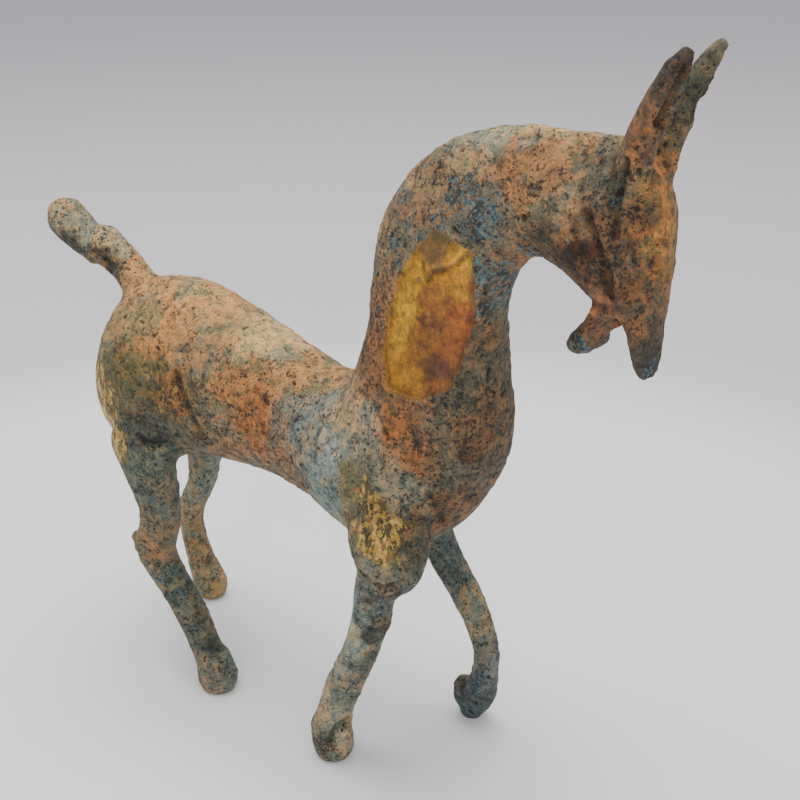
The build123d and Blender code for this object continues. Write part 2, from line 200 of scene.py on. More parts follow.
# the patina's spots on each node: place, colour, and growths of crust, azurite, gilding and
# dark speckle; the first are on both sides, and the others only where they stand
SPOTS = {"torso_rear": [
    ((0.75, 0.4, 0.91), (182, 150, 114), (0.85, 0, 0, 0.1)),  # croup
    ((0.61, 0.22, 0.81), (178, 140, 100), (0.8, 0, 0, 0.2)),  # croup side
    ((0.99, 0.25, 0.77), (158, 132, 102), (0.5, 0.1, 0, 0.3)),  # flank patch
    ((0.16, 0.15, 0.33), (134, 108, 62), (0.2, 0, 0.9, 0.4)),  # gilt haunch
    ((0.21, 0.18, 0.71), (150, 130, 98), (0.4, 0.1, 0, 0.3)),  # rear haunch
    ((0.54, 0.07, 0.36), (92, 88, 76), (0.1, 0.1, 0.1, 0.6)),  # under the haunch
    ((0.8, 0.13, 0.54), (122, 96, 64), (0.3, 0.1, 0.45, 0.6)),  # fold
], "torso_front": [
    ((0.14, 0.59, 0.9), (192, 168, 132), (0.85, 0, 0, 0.1)),  # back
    ((0.37, 0.58, 0.82), (168, 138, 102), (0.7, 0.1, 0, 0.3)),  # withers
    ((0.12, 0.25, 0.79), (165, 128, 92), (0.75, 0, 0, 0.4)),  # flank
    ((0.23, 0.22, 0.65), (156, 112, 78), (0.9, 0, 0, 0.5)),  # red flank
    ((0.07, 0.22, 0.52), (142, 122, 98), (0.45, 0.05, 0, 0.7)),  # lower flank
    ((0.33, 0.25, 0.47), (136, 120, 98), (0.45, 0.15, 0, 0.7)),  # belly
    ((0.44, 0.22, 0.68), (134, 132, 120), (0.35, 0.3, 0, 0.5)),  # behind the shoulder
    ((0.65, 0.16, 0.76), (164, 146, 122), (0.6, 0.1, 0, 0.4)),  # shoulder
    ((0.57, 0.15, 0.64), (156, 154, 144), (0.2, 0.15, 0, 0.4)),  # grey shoulder
    ((0.56, 0.17, 0.45), (134, 138, 128), (0.1, 0.1, 0, 0.3)),  # strip behind the lobe
    ((0.84, 0.14, 0.64), (138, 130, 110), (0.3, 0.05, 0, 0.5)),  # above the lobe
    ((0.68, 0.12, 0.59), (128, 110, 74), (0.2, 0, 0.3, 0.3)),  # top of the lobe
    ((0.79, 0.09, 0.5), (112, 88, 58), (0.2, 0, 0.75, 0.6)),  # middle of the lobe
    ((0.85, 0.04, 0.41), (124, 98, 58), (0.1, 0, 1, 0.5)),  # gilt lobe
    ((0.91, 0.14, 0.42), (98, 88, 68), (0.3, 0, 0.1, 0.7)),  # front of the lobe
    ((0.82, 0, 0.32), (122, 120, 104), (0.2, 0.1, 0.2, 0.4)),  # foot of the lobe
    ((0.97, 0.33, 0.53), (116, 88, 62), (0.6, 0.05, 0, 0.7)),  # under the chest
], "neck": [
    ((0.51, 0.06, 0.15), (144, 104, 74), (0.85, 0, 0, 0.6)),  # red front
    ((0.68, 0.26, 0.17), (98, 78, 58), (0.45, 0.15, 0, 0.9)),  # chest
    ((0.63, 0.2, 0.13), (108, 98, 78), (0.15, 0.1, 0, 0.7)),  # grey chest
    ((0.58, 0.14, 0.25), (116, 98, 76), (0.2, 0.2, 0, 0.7)),  # grey chest
    ((0.74, 0.46, 0.24), (118, 94, 68), (0.5, 0.1, 0, 0.7)),  # front of the chest
    ((0.15, 0.22, 0.44), (132, 102, 76), (0.6, 0.2, 0, 0.75)),  # left of the panel
    ((0.25, 0.31, 0.75), (132, 112, 88), (0.5, 0.75, 0, 0.6)),  # back of the neck
    ((0.65, 0.22, 0.79), (142, 120, 96), (0.35, 1, 0, 0.5)),  # blue neck
    ((0.71, 0.36, 0.6), (130, 110, 88), (0.35, 0.85, 0, 0.6)),  # blue neck low
    ((0.43, 0.38, 0.91), (132, 114, 88), (0.5, 0.55, 0, 0.7)),  # crest
    ((0.9, 0.32, 0.95), (150, 116, 86), (0.85, 0.15, 0, 0.5)),  # top of the neck
    ((0.82, 0.46, 0.67), (136, 108, 82), (0.6, 0.6, 0, 0.4)),  # throat
    ((0.7, 0.56, 0.41), (112, 96, 74), (0.4, 0.4, 0, 0.6)),  # front of the neck
    ((0.4, 0.06, 0.27), (146, 104, 72), (0.8, 0, 0.1, 0.5)),  # foot of the neck
], "head": [
    ((0.19, 0.07, 0.8), (146, 118, 90), (0.7, 0.3, 0, 0.5)),  # side of the poll
    ((0.44, 0.27, 0.95), (146, 116, 84), (0.7, 0.1, 0, 0.4)),  # poll
    ((0.3, 0.02, 0.73), (158, 134, 106), (0.5, 0.25, 0, 0.3)),  # behind the jowl
    ((0.45, 0.01, 0.6), (68, 48, 34), (0.5, 0.3, 0, 0.8)),  # jowl
    ((0.58, 0.11, 0.41), (98, 72, 52), (0.6, 0.45, 0, 0.5)),  # lower jowl
    ((0.8, 0.1, 0.73), (108, 88, 68), (0.45, 0.5, 0, 0.8)),  # cheek
    ((0.84, 0.07, 0.51), (108, 86, 66), (0.5, 0.5, 0, 0.9)),  # lower cheek
    ((0.68, 0.12, 0.82), (112, 98, 80), (0.3, 0.7, 0, 0.6)),  # cheek edge
    ((0.91, 0.19, 0.69), (126, 92, 66), (0.5, 0.1, 0, 0.6)),  # brown face
    ((0.98, 0.32, 0.46), (150, 112, 70), (0.3, 0, 0.2, 0.3)),  # lower amber
    ((0.94, 0.41, 0.82), (168, 124, 82), (0.3, 0, 0.3, 0.2)),  # amber brow
    ((0.99, 0.45, 0.61), (172, 132, 86), (0.2, 0, 0.35, 0.15)),  # amber face
    ((0.96, 0.3, 0.35), (122, 96, 70), (0.5, 0.15, 0.1, 0.5)),  # lower face
    ((0.97, 0.37, 0.12), (72, 60, 52), (0.2, 0.6, 0, 0.5)),  # muzzle
    ((0.91, 0.24, 0.14), (92, 78, 60), (0.5, 0.2, 0, 0.6)),  # muzzle side
    ((0.63, 0.3, 0.3), (148, 106, 80), (0.7, 0, 0, 0.2)),  # mouth corner
], "ear_right": [
    ((0.16, 0.16, 0.05), (132, 106, 80), (0.5, 0.15, 0, 0.6)),  # temple
]}
SIDE_SPOTS = {"torso_rear": [
    ((0.39, 0.07, 0.59), (110, 94, 60), (0.2, 0, 0.3, 0.4)),  # olive haunch
    ((0.21, 0.1, 0.5), (134, 110, 68), (0.2, 0, 0.8, 0.3)),  # gilt haunch
    ((0.36, 0.03, 0.3), (128, 104, 64), (0.2, 0, 0.8, 0.4)),  # gilt haunch
    ((0.59, 0.06, 0.22), (110, 108, 92), (0.2, 0.2, 0, 0.5)),  # thigh
    ((0.63, 0.09, 0.06), (106, 104, 90), (0.25, 0.3, 0, 0.5)),  # lower thigh
    ((0.22, 0.47, 0.92), (180, 148, 110), (0.7, 0.1, 0, 0.4)),  # tail root
], "torso_front": [
    ((0.79, 0.05, 0.17), (120, 120, 108), (0.25, 0.4, 0, 0.6)),  # right forearm
    ((0.72, 0.04, 0.15), (142, 146, 134), (0.1, 0.35, 0, 0.2)),  # pale forearm
    ((0.82, 0.02, 0.21), (84, 80, 68), (0.2, 0.2, 0, 1)),  # dark streak
], "neck": [
    # the crest line spots grow paler towards the top: a painted highlight on the crest's rim
    ((0.15, 0.5, 0.72), (164, 142, 112), (0.4, 0.1, 0, 0.4)),  # crest line
    ((0.3, 0.5, 0.86), (168, 148, 118), (0.4, 0.1, 0, 0.4)),  # crest line
    ((0.52, 0.5, 0.95), (172, 154, 124), (0.4, 0.05, 0, 0.3)),  # crest line
    ((0.73, 0.5, 0.99), (178, 160, 130), (0.4, 0, 0, 0.3)),  # crest line
    ((0.95, 0.5, 1), (184, 164, 132), (0.4, 0, 0, 0.2)),  # crest line
], "hind_leg_right": [
    ((0.21, 0.09, 0.73), (132, 112, 88), (0.5, 0.2, 0, 0.3)),  # hock
    ((0.57, 0.14, 0.49), (94, 96, 84), (0.2, 0.4, 0, 0.6)),  # hind shank
    ((0.79, 0.26, 0.29), (98, 94, 80), (0.35, 0.3, 0, 0.6)),  # hind pastern
    ((0.87, 0.06, 0.14), (134, 114, 96), (0.4, 0, 0, 0.3)),  # right hind hoof
    ((0.96, 0.35, 0.16), (104, 106, 96), (0.1, 0.2, 0, 0.5)),  # grey hoof
], "hind_leg_left": [
    # the left hind leg's spots are lightened, painted light that makes up for the shade this leg gets from
    # the lamps
    ((0.78, 0.16, 0.86), (124, 122, 106), (0.3, 0.2, 0, 0.4)),  # left thigh
    ((0.49, 0.46, 0.29), (136, 122, 98), (0.5, 0.3, 0, 0.4)),  # left shank
    ((0.76, 0.32, 0.12), (148, 130, 102), (0.4, 0.05, 0, 0.3)),  # left hind hoof
], "foreleg_right": [
    ((0.55, 0.17, 0.78), (152, 152, 138), (0.1, 0.25, 0, 0.15)),  # right cannon
    ((0.67, 0.11, 0.95), (152, 150, 134), (0.1, 0.25, 0, 0.15)),  # right cannon
    ((0.24, 0.15, 0.39), (152, 142, 120), (0.3, 0.1, 0, 0.1)),  # pale pastern
    ((0.55, 0.19, 0.47), (118, 114, 98), (0.4, 0.35, 0, 0.5)),  # right pastern
    ((0.91, 0.08, 0.97), (84, 80, 66), (0.3, 0.2, 0, 1)),  # dark streak
    ((0.75, 0.15, 0.72), (98, 92, 76), (0.3, 0.3, 0, 0.8)),  # dark streak
    ((0.45, 0.38, 0.16), (158, 142, 116), (0.4, 0.1, 0, 0.4)),  # right toe
    ((0.25, 0.01, 0.14), (104, 102, 90), (0.15, 0.3, 0, 0.8)),  # right fore hoof
], "foreleg_left": [
    ((0.36, 0.18, 0.95), (98, 98, 90), (0.25, 0.3, 0, 0.7)),  # left forearm
    ((0.74, 0.29, 0.73), (130, 122, 102), (0.55, 0.2, 0, 0.5)),  # left cannon
    ((0.95, 0.19, 0.42), (104, 106, 100), (0.35, 0.5, 0, 0.5)),  # left pastern
    ((0.64, 0.1, 0.21), (84, 86, 84), (0.1, 0.5, 0, 0.6)),  # left fore hoof
], "tail": [
    ((0.83, 0.23, 0.52), (182, 162, 132), (0.5, 0.15, 0, 0.5)),  # tail
    ((0.28, 0.08, 0.48), (84, 80, 66), (0.2, 0.1, 0, 0.9)),  # tail under
    ((0.83, 0.11, 0.28), (96, 80, 60), (0.4, 0.1, 0, 0.9)),  # tail pit
    ((0.86, 0.34, 0.54), (152, 150, 132), (0.2, 0.35, 0, 0.4)),  # tail hump
    ((0.31, 0.2, 0.85), (166, 146, 118), (0.55, 0.2, 0, 0.5)),  # tail knob
], "head": [
    ((0.59, 0.32, 0.22), (112, 88, 68), (0.5, 0.3, 0, 0.4)),  # jaw
    # the crest line spot: a painted highlight on the crest's rim
    ((0.43, 0.5, 0.99), (180, 156, 124), (0.5, 0, 0, 0.2)),  # crest line
], "ear_right": [
    ((0.47, 0.04, 0.39), (128, 94, 70), (0.6, 0.15, 0, 0.3)),  # right ear root
    ((0.71, 0.03, 0.67), (98, 76, 58), (0.4, 0.15, 0, 0.4)),  # right ear
    ((0.91, 0.11, 0.94), (76, 62, 52), (0.3, 0.2, 0, 0.4)),  # right ear tip
], "lower_jaw": [
    ((0.44, 0.04, 0.35), (96, 84, 70), (0.3, 0.8, 0, 0.6)),  # jaw end
], "ear_left": [
    ((0.72, 0.41, 0.51), (92, 84, 68), (0.3, 0.4, 0, 0.6)),  # left ear
    ((0.87, 0.43, 0.87), (112, 98, 76), (0.4, 0.3, 0, 0.4)),  # left ear tip
]}

# the gilt panel's outline on the neck, and the colours in it, as fractions of the neck's x and z
PANEL = [
    (0.52, 0.724), (0.628, 0.69), (0.627, 0.614), (0.611, 0.464), (0.564, 0.354), (0.493, 0.33),
    (0.35, 0.335), (0.307, 0.405), (0.323, 0.524), (0.369, 0.616), (0.448, 0.693),
]
PANEL_ROUNDING = 2.2      # the outline is rounded by this much, and grows by it
PANEL_EDGE = 5.5          # the panel keeps this far from the middle of the neck's width
PANEL_SPOTS = [
    ((0.407, 0.631), (186, 140, 58)), ((0.362, 0.545), (196, 152, 58)), ((0.331, 0.46), (188, 142, 58)),
    ((0.305, 0.374), (176, 128, 56)), ((0.498, 0.701), (122, 96, 60)), ((0.64, 0.674), (190, 144, 50)),
    ((0.616, 0.615), (184, 132, 50)), ((0.516, 0.578), (150, 104, 56)), ((0.516, 0.503), (128, 86, 50)),
    ((0.618, 0.522), (152, 94, 54)), ((0.598, 0.439), (140, 88, 52)), ((0.535, 0.394), (92, 62, 40)),
    ((0.453, 0.439), (140, 98, 50)), ((0.444, 0.348), (160, 116, 56)), ((0.544, 0.337), (128, 84, 50)),
]

cad_low, cad_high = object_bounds()
BOXES = {name: [np.array(corner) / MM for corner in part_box(name)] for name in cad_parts}
NECK_MIDDLE = (BOXES["neck"][0][1] + BOXES["neck"][1][1]) / 2


def add_object(name, data):
    thing = bpy.data.objects.new(name, data)
    bpy.context.scene.collection.objects.link(thing)
    return thing


# ---- camera ----
CAMERA_PLACE = (0.20463, -0.22666, 0.2300)
CAMERA_HEADING = 37.5     # degrees, from +Y towards -X
CAMERA_DIP = 23.5         # degrees below the horizon


def add_camera():
    """The viewing angle: to the statue's right and front, looking down on it."""
    data = bpy.data.cameras.new("camera")
    data.lens = 54.0
    data.sensor_width = 36.0
    data.clip_start = 0.01
    camera = add_object("camera", data)
    camera.location = CAMERA_PLACE
    camera.rotation_euler = (math.radians(90.0 - CAMERA_DIP), 0.0, math.radians(CAMERA_HEADING))
    bpy.context.scene.camera = camera


add_camera()


# ---- distance fields ----
GRID_LOW = np.floor((np.array(cad_low) / MM - MARGIN) / VOXEL).astype(int)
GRID_HIGH = np.ceil((np.array(cad_high) / MM + MARGIN) / VOXEL).astype(int)
SHAPE = tuple(int(n) for n in GRID_HIGH - GRID_LOW + 1)
WHOLE = tuple(slice(0, n) for n in SHAPE)
AXES = [(GRID_LOW[i] + np.arange(SHAPE[i])).astype(np.float32) * VOXEL for i in range(3)]


def linear():
    return vdb.createLinearTransform(voxelSize=VOXEL)


def field_from(points, band, **faces):
    """The signed distance to a closed surface on the whole grid, known up to a band."""
    grid = vdb.FloatGrid.createLevelSetFromPolygons(
        points, transform=linear(), halfWidth=band / VOXEL, **faces)
    field = np.empty(SHAPE, np.float32)
    grid.copyToArray(field, ijk=tuple(int(n) for n in GRID_LOW))
    return field


def node_field(name):
    """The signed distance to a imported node."""
    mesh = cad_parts[name].data
    corners = np.empty(len(mesh.vertices) * 3, np.float32)
    mesh.vertices.foreach_get("co", corners)
    mesh.calc_loop_triangles()
    triangles = np.empty(len(mesh.loop_triangles) * 3, np.int32)
    mesh.loop_triangles.foreach_get("vertices", triangles)
    triangles = triangles.reshape(-1, 3).astype(np.uint32)
    return field_from(corners.reshape(-1, 3) / MM, NODE_BAND, triangles=triangles)


def surface_of(field, level=0.0, corner=(0, 0, 0)):
    """The corners and quads of the surface where a field has a level."""
    grid = vdb.FloatGrid(float(field.max()))
    first = tuple(int(n) for n in GRID_LOW + np.array(corner))
    grid.copyFromArray(np.ascontiguousarray(field), ijk=first)
    grid.transform = linear()
    return grid.convertToQuads(isovalue=level)


def offset_of(field, level, band):
    """The field measured afresh from the surface where the given field has a level."""
    points, quads = surface_of(field, level)
    return field_from(points, band, quads=quads)


# ---- the castings as one solid ----
def window_round(low, high):
    """The part of the grid that holds a box in millimetres."""
    first = np.floor(np.array(low) / VOXEL).astype(int) - GRID_LOW
    last = np.ceil(np.array(high) / VOXEL).astype(int) - GRID_LOW + 1
    return tuple(slice(max(int(a), 0), max(int(b), 0)) for a, b in zip(first, last))


def window_of(name):
    low, high = BOXES[name]
    return window_round(low - FORM_BAND, high + FORM_BAND)


nearest = np.full(SHAPE, NODE_BAND, np.float32)
second = nearest.copy()
owner = np.zeros(SHAPE, np.uint8)
own, hollow = {}, {}
for number, name in enumerate(CASTINGS):
    field = node_field(name)
    if name in CORES:
        core = node_field(CORES[name])
        hollow[name] = core[window_of(name)].copy()
        np.minimum(field, core, out=field)
    own[name] = field[window_of(name)].copy()
    closer = field < nearest
    np.minimum(second, np.where(closer, nearest, field), out=second)
    nearest[closer] = field[closer]
    owner[closer] = number
pins = np.minimum.reduce([node_field(name) for name in PINS])
solid = offset_of(np.minimum(nearest, pins), SLIT, FORM_BAND) + SLIT


def closed(radius):
    """The solid with a fillet of this radius in every inner corner."""
    return offset_of(solid, radius, FORM_BAND) + radius


def eased(value, low, high):
    """0 below the low value, 1 above the high one, and smooth between them."""
    part = np.clip((value - low) / (high - low), 0.0, 1.0)
    return part * part * (3.0 - 2.0 * part)


def grid_points(window):
    """The x, y and z of the voxels in a window, shaped to broadcast together."""
    return np.ix_(*[AXES[i][window[i]] for i in range(3)])


def spot(node, place):
    """One or more points in a node's box, from fractions of its size, in millimetres."""
    low, high = BOXES[node]
    return low + (high - low) * np.array(place)


# wide fillets on the body and its joints, narrow ones on the feet and the head
WIDER, NARROWER = (25.0, 40.0), (130.0, 145.0)      # heights in millimetres
_, _, height = grid_points(WHOLE)
wide = eased(height, *WIDER) * (1.0 - eased(height, *NARROWER))
form = closed(FILLETS[0]) * (1.0 - wide) + closed(FILLETS[1]) * wide
del solid, wide


# ---- the colours of the patina ----
def linear_colour(colour):
    """A colour of 0 to 255 a channel, as it is before display."""
    share = np.array(colour, np.float64) / 255.0
    return np.where(share < 0.04045, share / 12.92, ((share + 0.055) / 1.055) ** 2.4)


def spot_table():
    """The places of the patina's spots, and the colour and growths at each."""
    places, values = [], []
    for table, sides in ((SPOTS, (1, -1)), (SIDE_SPOTS, (1,))):
        for node, spots in table.items():
            for place, colour, growth in spots:
                value = [*linear_colour(colour), *growth]
                for side in sides:
                    places.append(spot(node, place) * (1, side, 1))
                    values.append(value)
    return np.array(places, np.float32), np.array(values, np.float32)


COARSE = 2.5              # spacing of the grid that holds the spots' colours
coarse_low = np.array(cad_low) / MM - 2 * COARSE
coarse_count = np.ceil((np.array(cad_high) / MM - coarse_low) / COARSE).astype(int) + 3


def spread(points, places, values, soft):
    """Values given at places, weighted at each point by their nearness."""
    total, weights = 0.0, 0.0
    for place, value in zip(places, values):
        away = ((points - place) ** 2).sum(axis=-1)
        weight = 1.0 / (away + soft) ** 2.5
        total = total + weight[..., None] * value
        weights = weights + weight
    return total / weights[..., None]


def patina_volume():
    """Every spot's influence, worked out on a coarse grid."""
    points = coarse_low + np.moveaxis(np.indices(coarse_count), 0, -1) * COARSE
    return spread(points, *spot_table(), 2.0).astype(np.float32)


def cell_corners(part):
    """The steps to a grid cell's eight corners, and each corner's weight."""
    for step in np.ndindex(2, 2, 2):
        yield step, np.prod(np.where(step, part, 1.0 - part), axis=1)


def read_between(values, place):
    """Values on a grid read at places that lie between its points."""
    last = np.array(values.shape[:3]) - 2
    place = np.clip(place, 0, last + 0.999)
    base = place.astype(np.int64)
    part = (place - base).astype(np.float32)
    total = 0.0
    for step, weight in cell_corners(part):
        found = values[tuple((base + step).T)]
        total = total + (weight[:, None] * found if found.ndim > 1 else weight * found)
    return total


LATTICE_SIDE = 48         # the noise repeats after this many lumps
random = np.random.default_rng(11)
LATTICE = random.random((LATTICE_SIDE,) * 3).astype(np.float32)
TURNS = [np.linalg.qr(random.normal(size=(3, 3)))[0].astype(np.float32) for _ in range(8)]


def noise(points, size, turn=0):
    """Smooth noise of 0 to 1 with lumps of about the given size."""
    place = points @ TURNS[turn] / size + 500.0 + 7.3 * turn
    base = np.floor(place).astype(np.int64)
    part = (place - base).astype(np.float32)
    part = part * part * (3.0 - 2.0 * part)
    total = 0.0
    for step, weight in cell_corners(part):
        total = total + weight * LATTICE[tuple((base + step).T % LATTICE_SIDE)]
    return total


def rough_noise(points, size, layers, turn=0):
    """Noise with finer and finer layers, still centred on a half."""
    total, weight = 0.0, 0.0
    for layer in range(layers):
        share = 0.55 ** layer
        total = total + share * (noise(points, size / 2 ** layer, (turn + layer) % 8) - 0.5)
        weight += share ** 2
    return 0.5 + total / math.sqrt(weight)


def neck_side(places):
    """Places on the side of the neck, from fractions of its x and z, in millimetres."""
    return spot("neck", [(x, 0, z) for x, z in places])[:, [0, 2]]


def panel_depth(points):
    """How far inside the gilt panel's outline a point of the neck's side lies."""
    corners = neck_side(PANEL)
    flat = points[:, [0, 2]]
    inside = np.zeros(len(points), bool)
    nearest_edge = np.full(len(points), 1e9)
    for start, end in zip(corners, np.roll(corners, -1, axis=0)):
        run = end - start
        along = np.clip((flat - start) @ run / (run @ run), 0.0, 1.0)
        gap = np.linalg.norm(flat - start - along[:, None] * run, axis=1)
        nearest_edge = np.minimum(nearest_edge, gap)
        crosses = (start[1] > flat[:, 1]) != (end[1] > flat[:, 1])
        reach = start[0] + (flat[:, 1] - start[1]) / (run[1] + 1e-9) * run[0]
        inside ^= crosses & (flat[:, 0] < reach)
    depth = np.where(inside, nearest_edge, -nearest_edge) + PANEL_ROUNDING
    return np.where(np.abs(points[:, 1] - NECK_MIDDLE) > PANEL_EDGE, depth, -9.0)


def panel_colour(points):
    """The colour of the panel's gold, blended between its spots."""
    places, colours = zip(*PANEL_SPOTS)
    return spread(points[:, [0, 2]], neck_side(places), linear_colour(colours), 1.0)


PATINA = patina_volume()

# the size of the patina's lumps and their height or depth, in millimetres
BEND_SIZE, BEND, PANEL_BEND = 6.0, 8.0, 1.4
CRUST_SIZE, CRUST_HEIGHT = 6.0, 0.20
AZURITE_SIZE, AZURITE_HEIGHT = 5.0, 0.12
HILL_SIZE, HILL_HEIGHT = 9.0, 0.34
GRAIN_SIZE, GRAIN_HEIGHT = 1.3, 0.20
PIT_SIZE, PIT_DEPTH = 1.25, 0.35
PANEL_DEPTH, RIM_HEIGHT, RIM_WIDTH = 0.32, 0.22, 0.8
LEG_TOPS = (45.0, 75.0)   # below this height the surface is smoother

# where each growth sets in and is whole
PANEL_FADE, GILT_FADE = (-0.2, 0.4), (0.35, 0.8)
CRUST_FADE, AZURITE_FADE, PIT_FADE = (0.46, 0.56), (0.46, 0.58), (0.86, 0.95)


def patina(points):
    """The colour, the growths and the relief of the surface at each point."""
    bend = np.stack([rough_noise(points, BEND_SIZE, 3, turn) for turn in (3, 4, 5)], axis=1) - 0.5
    values = read_between(PATINA, (points + BEND * bend - coarse_low) / COARSE)
    crust_share, blue_share, gilt, dark = values[:, 3:7].T
    depth = panel_depth(points + PANEL_BEND * bend)
    panel = eased(depth, *PANEL_FADE)
    bare = np.clip(panel + 0.8 * eased(gilt, *GILT_FADE), 0, 1)
    crust = rough_noise(points, CRUST_SIZE, 4, 0) + 0.42 * (crust_share - 0.5)
    crust = eased(crust, *CRUST_FADE) * (1 - bare)
    blue = rough_noise(points, AZURITE_SIZE, 3, 2) + 0.75 * (blue_share - 0.80)
    blue = eased(blue, *AZURITE_FADE) * (1 - panel)
    pit = noise(points, PIT_SIZE, 6) + 0.08 * dark - 0.10 * gilt
    pit = eased(pit, *PIT_FADE) * (1 - 0.8 * panel)
    hills = HILL_HEIGHT * (rough_noise(points, HILL_SIZE, 2, 1) - 0.5)
    hills = hills * (0.3 + 0.7 * eased(points[:, 2], *LEG_TOPS)) * (1 - 0.7 * bare)
    grain = (GRAIN_HEIGHT + 0.22 * crust + 0.15 * blue) * (noise(points, GRAIN_SIZE, 5) - 0.5)
    relief = hills + CRUST_HEIGHT * crust + AZURITE_HEIGHT * blue + grain * (1 - bare)
    rim = np.exp(-((depth + 0.7) / RIM_WIDTH) ** 2)
    relief = relief - PIT_DEPTH * pit - PANEL_DEPTH * panel + RIM_HEIGHT * rim
    wash = values[:, :3] * (1 - panel[:, None]) + panel_colour(points) * panel[:, None]
    return {
        "relief": relief, "wash": wash, "crust": crust, "blue": blue, "pit": pit,
        "gilt": gilt * (1 - panel), "dark": dark * (1 - panel), "panel": panel,
    }


# ---- the sculpted marks ----
def at_points(field, points, corner=0):
    """A field, or a window of it that starts at a corner, read at points in millimetres."""
    return read_between(field, points / VOXEL - (GRID_LOW + corner))


def slope_of(field, points, step, corner=0):
    """How much a field grows per millimetre along x, y and z."""
    ends = [
        at_points(field, points + s, corner) - at_points(field, points - s, corner)
        for s in np.eye(3) * step
    ]
    return np.stack(ends, axis=1) / (2 * step)


def snapped(points, lift):
    """The points moved straight to a height above the form."""
    for _ in range(4):
        slope = slope_of(form, points, VOXEL)
        slope /= np.maximum(np.linalg.norm(slope, axis=1, keepdims=True), 1e-6)
        points = points + slope * (lift - at_points(form, points))[:, None]
    return points


def lower_of(a, b, soft):
    """The lower of two fields, with the corner between them rounded."""
    share = np.clip(0.5 + 0.5 * (b - a) / soft, 0.0, 1.0)
    return b * (1 - share) + a * share - soft * share * (1 - share)


def stroke_field(window, points, radius):
    """The distance to a round bead drawn through the points."""
    x, y, z = grid_points(window)
    best = np.float32(1e9)
    for start, end in zip(points[:-1], points[1:]):
        run = end - start
        dx, dy, dz = x - start[0], y - start[1], z - start[2]
        along = np.clip((dx * run[0] + dy * run[1] + dz * run[2]) / max(run @ run, 1e-6), 0.0, 1.0)
        gap = (dx - along * run[0]) ** 2 + (dy - along * run[1]) ** 2 + (dz - along * run[2]) ** 2
        best = np.minimum(best, gap)
    return np.sqrt(best) - radius


def sculpt(node, kind, radius, lift, soft, places, both=False):
    """One bead added to the form or one groove cut from it, on one side or both."""
    points = spot(node, places)
    for side in ((1, -1) if both else (1,)):
        path = points * (1, side, 1)
        if lift is not None:
            path = snapped(path, lift)
        reach = radius + 2 * soft + 1.0
        window = window_round(path.min(axis=0) - reach, path.max(axis=0) + reach)
        bead = stroke_field(window, path, radius)
        if kind == "add":
            form[window] = lower_of(form[window], bead, soft)
        else:
            form[window] = -lower_of(-form[window], bead, soft)


for node, marks in MARKS.items():
    for mark in marks:
        sculpt(node, *mark)
for places in CRACK_BEADS:
    sculpt("neck", *CRACK_BEAD, places)


# ---- the relief of the patina ----
def within_cad(field):
    """The field cut off just inside the sides of the statue's box, and at its floor."""
    low, high = np.array(cad_low) / MM, np.array(cad_high) / MM
    for axis, line in enumerate(grid_points(WHOLE)):
        inset = 0.0 if axis == 2 else INSET
        np.maximum(field, low[axis] + inset - line, out=field)
        np.maximum(field, line - high[axis] + INSET, out=field)


RELIEF_BAND = 1.2         # the relief is worked out this near to the surface
near = np.flatnonzero(np.abs(form) < RELIEF_BAND)
index = np.stack(np.unravel_index(near, SHAPE), axis=1)
places = ((index + GRID_LOW) * VOXEL).astype(np.float32)
form.reshape(-1)[near] -= patina(places)["relief"]
del near, index, places
within_cad(form)


def blurred(field, radius):
    """The mean of the field over a small cube round each point."""
    count = max(int(round(radius / VOXEL)), 1)
    for axis in range(3):
        total = np.cumsum(field, axis=axis, dtype=np.float32)
        total = np.moveaxis(total, axis, 0)
        mean = np.moveaxis(field, axis, 0).copy()
        width = 2 * count + 1
        mean[count + 1:-count] = (total[width:] - total[:-width]) / width
        field = np.moveaxis(mean, 0, axis)
    return field


# above zero on ridges and below it in hollows; it leads the painted shade in the hollows and the painted
# highlight on the ridges
shallow = np.clip(form, -3.0, 3.0)
curving = blurred(blurred(shallow, 1.0), 1.0) - shallow
FULL_HOLLOW, FULL_RIDGE = 0.22, 0.35


# ---- cutting the form along the seams ----
def joined_parts(count, pairs):
    """A number for each vertex, the same for all that are joined by edges."""
    label = np.arange(count)
    while True:
        low = np.minimum(label[pairs[:, 0]], label[pairs[:, 1]])
        lower = label.copy()
        np.minimum.at(lower, label[pairs[:, 0]], low)
        np.minimum.at(lower, label[pairs[:, 1]], low)
        lower = lower[lower]
        if np.array_equal(lower, label):
            return label
        label = lower


def without_crumbs(points, quads):
    """The surface without its small loose bits, and without unused corners."""
    pairs = np.concatenate([quads[:, [side, (side + 1) % 4]] for side in range(4)])
    label = joined_parts(len(points), pairs)
    sizes = np.bincount(label, minlength=len(points))
    keep = sizes[label] > CRUMB
    quads = quads[keep[quads[:, 0]]]
    used = np.unique(quads)
    place = np.zeros(len(points), np.int64)
    place[used] = np.arange(len(used))
    return points[used], place[quads]


def rim_corners(points, cut, corner):
    """Which corners of a surface sit where the form and the cut meet."""
    base = np.floor(points / VOXEL).astype(np.int64) - GRID_LOW - corner
    base = np.clip(base, 0, np.array(cut.shape) - 2)
    whole = base + corner
    signs = np.zeros((2, len(points)), np.int64)
    for step in np.ndindex(2, 2, 2):
        signs[0] += form[tuple((whole + step).T)] < 0
        signs[1] += cut[tuple((base + step).T)] < 0
    return ((signs > 0) & (signs < 8)).all(axis=0)


